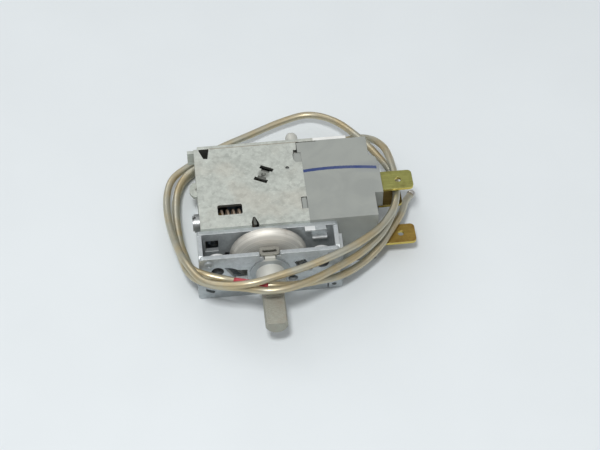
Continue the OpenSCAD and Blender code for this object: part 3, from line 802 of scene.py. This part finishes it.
@dataclass(frozen=True)
class StampedBrass(Finish):
    """Stamped copper alloy strip, gone dull in blotches, with a painted highlight on its upright
    faces.
    """

    blush: str = "#8A5A2C"
    blush_mm: float = 2.6
    blush_share: float = 0.7
    side_highlight: str = "#D8C768"
    side_highlight_share: float = 0.8
    line_length_mm: float = 6.0
    line_gap_mm: float = 0.3

    def dress(self, surface: Surface) -> None:
        """Add rolling lines along the strip, blotches of tarnish and a painted highlight on the
        upright faces.

        Args:
            surface: the material in the making.
        """
        # the real rolling lines, which run along X, are finer and are drawn so that they show
        across = per(self.line_gap_mm)
        along = surface.put(
            "ShaderNodeMapping",
            {"Vector": surface.where, "Scale": (per(self.line_length_mm), across, across)},
        ).outputs["Vector"]
        lines = surface.put(
            "ShaderNodeTexNoise", {"Vector": along, "Scale": 1.0, "Detail": 4.0}
        ).outputs["Fac"]
        spots = surface.put(
            "ShaderNodeTexNoise",
            {
                "Vector": surface.where,
                "Scale": per(self.blush_mm),
                "Detail": 6.0,
                "Roughness": 0.65,
            },
        ).outputs["Fac"]
        tarnish = surface.put(
            "ShaderNodeMapRange",
            {"Value": spots, "From Min": 0.45, "From Max": 0.68, "To Max": self.blush_share},
            interpolation_type="SMOOTHSTEP",
        ).outputs["Result"]
        tone = surface.put(
            "ShaderNodeMix",
            {"Factor": tarnish, 6: linear(self.colour), 7: linear(self.blush)},
            data_type="RGBA",
        ).outputs[2]
        streak = surface.put(
            "ShaderNodeMapRange",
            {
                "Value": lines,
                "From Min": NOISE_LOW,
                "From Max": NOISE_HIGH,
                "To Min": 0.85,
                "To Max": 1.12,
            },
        ).outputs["Result"]
        toned = surface.put(
            "ShaderNodeVectorMath", {0: tone, "Scale": streak}, operation="SCALE"
        ).outputs["Vector"]
        # faces that stand upright are painted brighter, as a painted highlight
        facing = surface.put("ShaderNodeNewGeometry").outputs["True Normal"]
        upward = surface.put("ShaderNodeSeparateXYZ", {"Vector": facing}).outputs["Z"]
        flatness = surface.put(
            "ShaderNodeMath", {0: upward}, operation="ABSOLUTE"
        ).outputs["Value"]
        upright_highlight_mask = surface.put(
            "ShaderNodeMapRange",
            {"Value": flatness, "From Min": 0.6, "From Max": 0.3, "To Max": self.side_highlight_share},
            interpolation_type="SMOOTHSTEP",
        ).outputs["Result"]
        highlighted_sides = surface.put(
            "ShaderNodeMix",
            {"Factor": upright_highlight_mask, 6: toned, 7: linear(self.side_highlight)},
            data_type="RGBA",
        ).outputs[2]
        self.finish_with(surface, highlighted_sides, 0.012, lines, wear=0.8)


@dataclass(frozen=True)
class DrawnTube(Finish):
    """Copper tube drawn through a die and tinned: smooth, with faint lines along its length."""

    warm: str = "#C0B18E"
    warm_mm: float = 7.0
    lines_round: float = 26.0
    line_length_mm: float = 14.0

    def dress(self, surface: Surface) -> None:
        """Add die lines along the tube and patches where the copper shows warm through the tin.

        Args:
            surface: the material in the making.
        """
        # the map's U is the length in metres and its V goes once round, so lines are long and thin
        skin = surface.put("ShaderNodeTexCoord").outputs["UV"]
        # the real die lines are finer, and are drawn as coarse as they need to show
        drawn = surface.put(
            "ShaderNodeMapping",
            {"Vector": skin, "Scale": (per(self.line_length_mm), self.lines_round, 1.0)},
        ).outputs["Vector"]
        lines = surface.put(
            "ShaderNodeTexNoise", {"Vector": drawn, "Scale": 1.0, "Detail": 3.0}
        ).outputs["Fac"]
        patches = surface.put(
            "ShaderNodeTexNoise",
            {"Vector": surface.where, "Scale": per(self.warm_mm), "Detail": 5.0},
        ).outputs["Fac"]
        shades = surface.put(
            "ShaderNodeValToRGB",
            {"Fac": patches},
            stops=((0.38, linear(self.colour)), (0.62, linear(self.warm))),
        ).outputs["Color"]
        self.finish_with(surface, shades, 0.008, lines, wear=0.0)


@dataclass(frozen=True)
class LayeredBoard(Finish):
    """Paper laminate pressed with phenolic resin: brown, with flecks of fibre."""

    fleck: str = "#8A6238"
    fleck_mm: float = 0.5

    def dress(self, surface: Surface) -> None:
        """Add the fibre flecks.

        Args:
            surface: the material in the making.
        """
        fibres = surface.put(
            "ShaderNodeTexNoise",
            {
                "Vector": surface.where,
                "Scale": per(self.fleck_mm),
                "Detail": 5.0,
                "Distortion": 2.0,
            },
        ).outputs["Fac"]
        shades = surface.put(
            "ShaderNodeValToRGB",
            {"Fac": fibres},
            stops=((0.4, linear(self.colour)), (0.7, linear(self.fleck))),
        ).outputs["Color"]
        self.finish_with(surface, shades, 0.01, fibres, wear=0.2)


class Finishes(Enum):
    """The finishes of this thermostat."""

    # zinc-dipped steel of the case: pale, matt, with a soft cloudy spangle
    CASE_SHEET = CaseSheet(
        "galvanised_case_sheet", "#BEC3BC", "#878B85", 0.5, 0.5, 0.15, 0.2, spangle_mm=1.3
    )
    # the bracket's sheet has a finer, more metallic zinc skin that is a little bluer
    BRACKET_SHEET = TappedSheet(
        "galvanised_bracket_sheet", "#B4BABC", "#7E868A", 0.4, 0.62, 0.2, 0.25,
        spangle_mm=1.1, contrast=0.7, cream="#BBBDBB",
    )
    # zinc plating on the pressed levers is smooth and slightly blue
    PLATED_LEVER = GalvanisedSheet(
        "zinc_plated_lever", "#A9B4BC", "#6B7278", 0.34, 0.9, 0.1, spangle_mm=0.8, contrast=0.5
    )
    # the cast cam is satin on its cup and dull grey on its shaft
    CAM_ZINC = CamZinc("satin_zinc_cam", "#E5E3DB", "#96897A", 0.57, 0.68, 0.12, 0.6)
    # the bush is pale and matt, and its flange mirrors what lies in front of it and is painted
    # darker and bluer, as painted shade and reflection
    FLANGED_BUSH = BushZinc("die_cast_zinc_bush", "#D0D1CA", "#96958D", 0.5, 0.3, 0.15)
    # die-cast zinc goes evenly matt and pale grey
    BUSH_ZINC = Finish("die_cast_zinc", "#C3C4BD", "#96958D", 0.5, 0.3, 0.15)
    # turned steel is darker than zinc, with a soft metallic shine
    TURNED_STEEL = Finish("turned_steel", "#A6A9A9", "#70726F", 0.4, 0.95, 0.1)
    # hardened spring steel is dull grey, with dark patches of oil
    CLIP_STEEL = Finish("oiled_spring_steel", "#96958D", "#57554E", 0.38, 0.8, 0.1)
    # phosphated and oiled wire looks copper brown
    SPRING_WIRE = Finish("phosphated_spring_wire", "#BBA996", "#5A4636", 0.42, 0.4, 0.05)
    # moulded nylon is evenly grey and matt
    MOULDED_GREY = MouldedGrey("moulded_grey_nylon", "#969A95", "#8E928E", 0.5, 0.0, 0.2, 0.2)
    # unfilled nylon is smooth and off-white
    PALE_NYLON = Finish("smooth_pale_nylon", "#DCD8CC", "#B7B2A4", 0.42, 0.0, 0.1)
    # pressed paper board is brown, with darker fibres
    BOARD = LayeredBoard("pressed_paper_board", "#6B4524", "#3E2815", 0.5, 0.0, 0.1)
    # brass strip that has gone olive
    OLIVE_BRASS = StampedBrass(
        "stamped_olive_brass", "#A1A15E", "#666638", 0.38, 0.75, 0.12, blush="#857F48"
    )
    # the same brass strip painted dark, as painted shade on the terminal that lies under the others
    SHADED_BRASS = StampedBrass(
        "stamped_brass_painted_shade", "#6A5A2C", "#3A3016", 0.42, 0.8, 0.12, blush="#5A4322"
    )
    # brass strip that has gone brown
    BROWN_BRASS = StampedBrass(
        "stamped_brown_brass", "#A98E48", "#66502A", 0.4, 0.75, 0.12, blush="#8E6A34"
    )
    # rolled bronze keeps its orange tone
    BRONZE = StampedBrass("rolled_bronze", "#B07C4C", "#6B4426", 0.34, 1.0, 0.05)
    # tin over drawn copper: a smooth cream metal with faint lines
    TINNED_TUBE = DrawnTube("tinned_drawn_copper", "#BBB9A9", "#8C8F86", 0.39, 0.8, 0.05, 0.2)
    # solder at the sealed end is bright and smooth
    BEAD_SOLDER = Finish("bright_solder_bead", "#CDCBC7", "#85827D", 0.24, 1.0, 0.1, 0.2)
    # pressed silver of the contacts is pale, with a tight shine
    CONTACT_SILVER = Finish("pressed_silver", "#D2D0CA", "#8F8C85", 0.28, 1.0, 0.05)
    # paint brushed on the tube by hand is red and half glossy
    RED_PAINT = Finish("brushed_red_paint", "#B4404B", "#8A2831", 0.4, 0.0, 0.05)


@dataclass
class Wardrobe:
    """Makes each material once and puts it on pieces."""

    made: dict[Finishes, bpy.types.Material] = field(default_factory=dict)

    def material(self, finish: Finishes) -> bpy.types.Material:
        """Give the material of a finish, made on first use.

        Args:
            finish: the finish to look up.

        Returns:
            Its material.
        """
        if finish not in self.made:
            self.made[finish] = finish.value.material()
        return self.made[finish]

    def wear(self, piece: bpy.types.Object, finish: Finishes) -> None:
        """Put a finish on every material slot of a piece.

        Args:
            piece: the object to dress.
            finish: what it wears.
        """
        material = self.material(finish)
        if not piece.material_slots:
            piece.data.materials.append(material)
        for slot in piece.material_slots:
            slot.link = "OBJECT"
            slot.material = material


def new_piece(name: str, build: Callable[[bmesh.types.BMesh], None]) -> bpy.types.Object:
    """Make a mesh object from a building function.

    Args:
        name: the piece's name.
        build: fills the mesh, in metres.

    Returns:
        The new object, linked to the scene and shaded smooth.
    """
    mesh = bpy.data.meshes.new(name)
    work = bmesh.new()
    build(work)
    bmesh.ops.recalc_face_normals(work, faces=work.faces)
    for face in work.faces:
        face.smooth = True
    work.to_mesh(mesh)
    work.free()
    piece = bpy.data.objects.new(name, mesh)
    bpy.context.scene.collection.objects.link(piece)
    return piece


def smooth_line(points: Sequence[Sequence[float]], steps: int) -> list[Vector]:
    """Draw one smooth line through points.

    Args:
        points: where the line passes, in millimetres.
        steps: how many stretches there are between two points.

    Returns:
        The line's points in metres.
    """
    given = [metres(p) for p in points]
    ends = [given[0] * 2 - given[1], *given, given[-1] * 2 - given[-2]]
    line: list[Vector] = []
    for i in range(1, len(ends) - 2):
        a, b, c, d = ends[i - 1 : i + 3]
        for step in range(steps):
            t = step / steps
            square = (2 * a - 5 * b + 4 * c - d) * t**2
            cube = (3 * b - a - 3 * c + d) * t**3
            line.append(0.5 * (2 * b + (c - a) * t + square + cube))
    line.append(given[-1])
    return line


def length_of(line: Sequence[Vector]) -> float:
    """Give a line's length in metres."""
    return sum((b - a).length for a, b in zip(line, line[1:]))


def sweep(
    line: Sequence[Vector], radius: Callable[[float], float], sides: int
) -> Callable[[bmesh.types.BMesh], None]:
    """Plan a round tube along a line, mapped by its length and its girth.

    Args:
        line: the tube's middle, in metres.
        radius: the radius in metres at a share of the line's length.
        sides: the number of faces round the tube.

    Returns:
        A function that fills a mesh with the tube.
    """
    turns = [2 * math.pi * k / sides for k in range(sides)]
    circle = [(math.cos(turn), math.sin(turn)) for turn in turns]

    def fill(work: bmesh.types.BMesh) -> None:
        """Fill the mesh with rings that turn as little as they can along the line."""
        skin = work.loops.layers.uv.new("length_and_girth")
        count = len(line)
        heading = (line[1] - line[0]).normalized()
        side = heading.orthogonal().normalized()
        rings: list[list[bmesh.types.BMVert]] = []
        walked = [0.0]
        for i, centre in enumerate(line):
            ahead = (line[min(i + 1, count - 1)] - line[max(i - 1, 0)]).normalized()
            side = heading.rotation_difference(ahead) @ side
            side = (side - ahead * side.dot(ahead)).normalized()
            heading = ahead
            up = heading.cross(side)
            size = radius(i / (count - 1))
            places = (centre + side * (size * x) + up * (size * y) for x, y in circle)
            rings.append([work.verts.new(place) for place in places])
            if i:
                walked.append(walked[-1] + (centre - line[i - 1]).length)
        for i in range(count - 1):
            here, there = rings[i], rings[i + 1]
            for k in range(sides):
                n = (k + 1) % sides
                face = work.faces.new((here[k], here[n], there[n], there[k]))
                marks = (
                    (walked[i], k / sides),
                    (walked[i], (k + 1) / sides),
                    (walked[i + 1], (k + 1) / sides),
                    (walked[i + 1], k / sides),
                )
                for loop, mark in zip(face.loops, marks):
                    loop[skin].uv = mark
        work.faces.new(rings[0])
        work.faces.new(reversed(rings[-1]))

    return fill


@dataclass
class CapillaryCoil:
    """The capillary tube: three turns round the case and a paint mark; the sealed bead at its end
    is a solid of its own.
    """

    diameter_mm: float = 2.0
    sides: int = 18
    steps: int = 8
    mark_from_mm: Point = (-9.6, -5.4, 4.4)
    mark_to_mm: Point = (-0.9, -8.7, 5.2)
    paint_mm: float = 0.05
    # the paint runs out to a fifth of its thickness over an eighth of its length at each end
    paint_end: float = 0.2
    paint_fade: float = 0.125
    route_mm: tuple[Point, ...] = (
        (-6, 39, -5.5), (-6, 40.2, -5.5), (-6.6, 43, -6.4), (-10, 45.4, -7.8),
        (-15.8, 45, -8.6), (-21, 40.8, -8.7), (-23.6, 34, -8.7), (-24.2, 26, -8.6),
        (-24.1, 17.6, -7.2), (-23.2, 9.8, -4.4), (-21.6, 2.8, -1.6), (-18.8, -2.3, 1.3),
        (-14, -6.1, 3.4), (-8, -8.6, 5.2), (-1.6, -11.2, 6.4), (4.4, -10.6, 6.2),
        (10.8, -7.6, 5), (17.6, -3.4, 3.8), (24.8, 1.8, 2.6), (31, 7.8, 2.3), (34.6, 14, 2.5),
        (36.6, 20.6, 2.8), (36.4, 29.6, 1.6), (33.6, 39.2, -1), (29, 47.2, -1.6),
        (23.6, 55.4, -3.8), (16.6, 59.4, -5), (8.6, 57.8, -5.3), (-0.8, 53.8, -5.4),
        (-10.4, 49.4, -5.4), (-18.8, 44, -5.4), (-24, 39.4, -5.4), (-26, 32.8, -5.4),
        (-26, 23.6, -4), (-24.6, 12.8, -0.6), (-22.3, 2, 4.5), (-18.4, -5.4, 5.7),
        (-12.5, -8.5, 6.7), (-5.6, -9.7, 8.3), (1.8, -8, 8.4), (9.4, -5.6, 8.2),
        (17.2, -2.4, 8), (24, 1.6, 7.2), (30.2, 7, 6), (34.8, 13.6, 5.4), (36.6, 20.8, 5.1),
        (36.8, 29.8, 4), (35.8, 39.2, 1.4), (32.4, 47.2, -3.4), (26.6, 49.6, -6.2),
        (18, 46.8, -6.6), (8, 43, -5), (-3, 41.2, -2.2), (-12, 42.2, -3), (-18.8, 40.8, -4.6),
        (-22.6, 35, -5), (-23.7, 26, -4.8), (-23.2, 15, -3.2), (-22, 7, -0.6),
        (-20.8, 1.1, 2.5), (-17.6, -2.2, 3.9), (-12, -4.2, 3.5), (-6, -7.2, 4.9),
        (0.3, -8.8, 5.3), (6.2, -7.4, 3), (12.2, -4.6, 0), (19, -1.8, -2), (25.4, 2.8, -3.4),
        (30.4, 7, -2.5), (34.2, 12, -2), (38, 18.4, -3), (40, 23.6, -4.4), (41.8, 26.7, -5.7),
    )

    def build(self, nodes: dict[str, bpy.types.Object], clothes: Wardrobe) -> None:
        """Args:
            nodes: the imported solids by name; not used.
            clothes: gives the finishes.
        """
        line = smooth_line(self.route_mm, self.steps)
        radius = self.diameter_mm * MM / 2
        tube = new_piece("drawn_capillary", sweep(line, lambda share: radius, self.sides))
        clothes.wear(tube, Finishes.TINNED_TUBE)
        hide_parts("capillary_tube")
        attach(tube, "case")
        mark = self.paint_mark(line, radius, clothes)
        log.info("drawn_capillary is %.0f mm long", length_of(line) / MM)

    def paint_mark(
        self, line: Sequence[Vector], radius: float, clothes: Wardrobe
    ) -> bpy.types.Object:
        """Build the band of red paint on the third pass in front of the plate.

        Args:
            line: the tube's middle line.
            radius: the tube's radius in metres.
            clothes: gives the finish.

        Returns:
            The paint's thin skin.
        """
        # the third pass lies in the last quarter of the line
        third_pass = range(len(line) * 3 // 4, len(line))
        first, last = (
            min(third_pass, key=lambda i: (line[i] - metres(end)).length)
            for end in (self.mark_from_mm, self.mark_to_mm)
        )

        def coat(share: float) -> float:
            """Give the paint's radius, which runs out thin at both ends."""
            full = min(1.0, min(share, 1 - share) / self.paint_fade)
            return radius + self.paint_mm * MM * (self.paint_end + (1 - self.paint_end) * full)

        paint = new_piece("paint_mark", sweep(line[first : last + 1], coat, self.sides))
        clothes.wear(paint, Finishes.RED_PAINT)
        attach(paint, "case")
        log.info("paint_mark is %.0f mm long", length_of(line[first : last + 1]) / MM)
        return paint


@dataclass
class RangeSpring:
    """The pull spring that shows through the slot in the top plate."""

    start_mm: float = -13.3
    pitch_mm: float = 1.57
    mean_radius_mm: float = 2.75
    wire_radius_mm: float = 0.36
    turns: float = 9.5
    inward_turns: float = 0.75
    axis_y_mm: float = 15.0
    axis_z_mm: float = 4.2
    hook_end_mm: float = 4.7
    steps: int = 24
    sides: int = 10

    def point(self, turn: float) -> Point:
        """Give the wire's middle at a number of turns, where the last part of a turn runs inward.

        Args:
            turn: the number of turns from the start.

        Returns:
            The point in millimetres.
        """
        left = (turn - self.turns + self.inward_turns) / self.inward_turns
        reach = self.mean_radius_mm * (1 - max(0.0, min(1.0, left)))
        angle = 2 * math.pi * turn
        return (
            self.start_mm + turn * self.pitch_mm,
            self.axis_y_mm + reach * math.cos(angle),
            self.axis_z_mm + reach * math.sin(angle),
        )

    def build(self, clothes: Wardrobe) -> None:
        """Build the round wire of the spring in place of its coarse solid.

        Args:
            clothes: gives the finish.
        """
        count = int(self.turns * self.steps) + 1
        coil = [self.point(i / self.steps) for i in range(count)]
        hook = [(self.hook_end_mm, self.axis_y_mm, self.axis_z_mm)]
        line = [metres(p) for p in coil + hook]
        radius = self.wire_radius_mm * MM
        wire = new_piece("wound_spring", sweep(line, lambda share: radius, self.sides))
        clothes.wear(wire, Finishes.SPRING_WIRE)
        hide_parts("range_spring")
        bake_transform(wire)
        log.info("wound_spring has %.1f turns", self.turns)


@dataclass
class DressedSolids:
    """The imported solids, each with the finish of the real piece."""

    finishes: dict[str, Finishes] = field(
        default_factory=lambda: {
            "mounting_bracket": Finishes.BRACKET_SHEET,
            "housing_frame": Finishes.CASE_SHEET,
            "top_plate": Finishes.CASE_SHEET,
            "front_bush": Finishes.FLANGED_BUSH,
            "cam_shaft": Finishes.CAM_ZINC,
            "retaining_clip": Finishes.CLIP_STEEL,
            "cam_follower": Finishes.PLATED_LEVER,
            "follower_pin": Finishes.TURNED_STEEL,
            "range_screw": Finishes.TURNED_STEEL,
            "spring_nut": Finishes.BROWN_BRASS,
            "main_lever": Finishes.PLATED_LEVER,
            "lever_pin": Finishes.TURNED_STEEL,
            "bellows_cup": Finishes.BUSH_ZINC,
            "bellows": Finishes.BRONZE,
            "thrust_button": Finishes.TURNED_STEEL,
            "capillary_neck": Finishes.BRONZE,
            "capillary_tip": Finishes.BEAD_SOLDER,
            "differential_screw": Finishes.BUSH_ZINC,
            "bracket_rivets": Finishes.TURNED_STEEL,
            "switch_case": Finishes.MOULDED_GREY,
            "switch_cover": Finishes.BOARD,
            "push_pin": Finishes.PALE_NYLON,
            "contact_blade": Finishes.BRONZE,
            "moving_contact": Finishes.CONTACT_SILVER,
            "toggle_spring": Finishes.BRONZE,
            "front_contact": Finishes.CONTACT_SILVER,
            "back_contact": Finishes.CONTACT_SILVER,
            "upper_terminal": Finishes.OLIVE_BRASS,
            "middle_terminal": Finishes.SHADED_BRASS,
            "lower_terminal": Finishes.BROWN_BRASS,
        }
    )

    def build(self, nodes: dict[str, bpy.types.Object], clothes: Wardrobe) -> None:
        """Dress every solid that stays on show.

        Args:
            nodes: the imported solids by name.
            clothes: gives the finishes.
        """
        for name, finish in self.finishes.items():
            clothes.wear(nodes[name], finish)
            log.info("%s wears %s", name, finish.value.title)


@dataclass
class Camera:
    """The photograph's viewpoint."""

    azimuth_deg: float = -6.14
    elevation_deg: float = 51.15
    distance_mm: float = 464.7
    aside_mm: Span = (7.9, 12.29)
    lens_mm: float = 104.6
    sensor_mm: float = 36.0
    nearest_m: float = 0.01

    def build(self) -> None:
        """Place the camera and make it the scene's own."""
        a, e = math.radians(self.azimuth_deg), math.radians(self.elevation_deg)
        back = Vector((math.sin(a) * math.cos(e), -math.cos(a) * math.cos(e), math.sin(e)))
        right = Vector((math.cos(a), math.sin(a), 0.0))
        up = back.cross(right)
        place = back * self.distance_mm + right * self.aside_mm[0] + up * self.aside_mm[1]
        turn = Matrix((right, up, back)).transposed().to_4x4()
        data = bpy.data.cameras.new("photo_view")
        data.lens = self.lens_mm
        data.sensor_width = self.sensor_mm
        data.clip_start = self.nearest_m
        camera = bpy.data.objects.new("photo_view", data)
        camera.matrix_world = Matrix.Translation(place * MM) @ turn
        bpy.context.scene.collection.objects.link(camera)
        bpy.context.scene.camera = camera
        log.info("camera at %s", tuple(round(v, 4) for v in camera.matrix_world.translation))


@dataclass
class Studio:
    """A pale table, a soft lamp overhead, a fill, and a surround that is brighter above."""

    table_mm: float = -9.8
    table_half_m: float = 1.5
    table_colour: str = "#DDE3E6"
    table_mottle: float = 0.97
    horizon: float = 0.28
    zenith: float = 0.66
    aim_m: Point = (0.01, 0.015, 0.0)

    def build(self) -> None:
        """Build the table, the lamps and the surround."""
        self.build_table()
        self.build_lamp("overhead_softbox", place=(-0.08, -0.27, 0.65), size=0.1, power=2.7)
        self.build_lamp("rear_fill", place=(-0.3, 0.5, 0.5), size=0.4, power=0.7)
        self.build_surround()

    def build_surround(self) -> None:
        """Build the surround: even grey at the horizon, brighter towards the zenith."""
        world = bpy.data.worlds.new("soft_surround")
        sky = Canvas(world)
        direction = sky.put("ShaderNodeTexCoord").outputs["Generated"]
        height = sky.put("ShaderNodeSeparateXYZ", {"Vector": direction}).outputs["Z"]
        strength = sky.put(
            "ShaderNodeMapRange",
            {"Value": height, "To Min": self.horizon, "To Max": self.zenith},
        ).outputs["Result"]
        glow = sky.put(
            "ShaderNodeBackground", {"Color": linear("#FFFFFF"), "Strength": strength}
        ).outputs["Background"]
        sky.put("ShaderNodeOutputWorld", {"Surface": glow})
        bpy.context.scene.world = world

    def build_table(self) -> None:
        """Build the table top, matt and even, level with the part's lowest face."""
        half, level = self.table_half_m, self.table_mm * MM

        def fill(work: bmesh.types.BMesh) -> None:
            """Fill the mesh with one large face."""
            corners = ((-half, -half), (half, -half), (half, half), (-half, half))
            work.faces.new([work.verts.new((x, y, level)) for x, y in corners])

        table = new_piece("pale_table", fill)
        board = Surface("painted_table_board", {"Roughness": 0.7})
        pale = linear(self.table_colour)
        duller = tuple(self.table_mottle * c for c in pale)
        mottle = board.put(
            "ShaderNodeTexNoise", {"Vector": board.where, "Scale": per(40.0), "Detail": 3.0}
        ).outputs["Fac"]
        paint = board.put(
            "ShaderNodeValToRGB",
            {"Fac": mottle},
            stops=((NOISE_LOW, duller), (NOISE_HIGH, pale)),
        ).outputs["Color"]
        board.feed("Base Color", paint)
        table.data.materials.append(board.material)
        log.info("pale_table lies at %.1f mm", self.table_mm)

    def build_lamp(self, name: str, place: Point, size: float, power: float) -> None:
        """Add one square lamp that looks at the part.

        Args:
            name: the lamp's name.
            place: where it hangs, in metres.
            size: its side, in metres.
            power: its power, in watts.
        """
        data = bpy.data.lights.new(name, "AREA")
        data.shape = "SQUARE"
        data.size = size
        data.energy = power
        lamp = bpy.data.objects.new(name, data)
        lamp.location = place
        aim = Vector(self.aim_m) - Vector(place)
        lamp.rotation_euler = aim.to_track_quat("-Z", "Y").to_euler()
        bpy.context.scene.collection.objects.link(lamp)


def main() -> None:
    """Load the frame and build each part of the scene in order."""
    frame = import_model()
    logging.basicConfig(level=logging.INFO, format="%(name)s: %(message)s")
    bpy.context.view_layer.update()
    bpy.context.scene.view_settings.view_transform = "Standard"
    nodes = frame["nodes"]
    clothes = Wardrobe()
    Camera().build()
    CapillaryCoil().build(nodes, clothes)
    RangeSpring().build(clothes)
    DressedSolids().build(nodes, clothes)
    Studio().build()


if __name__ == "__main__":
    main()
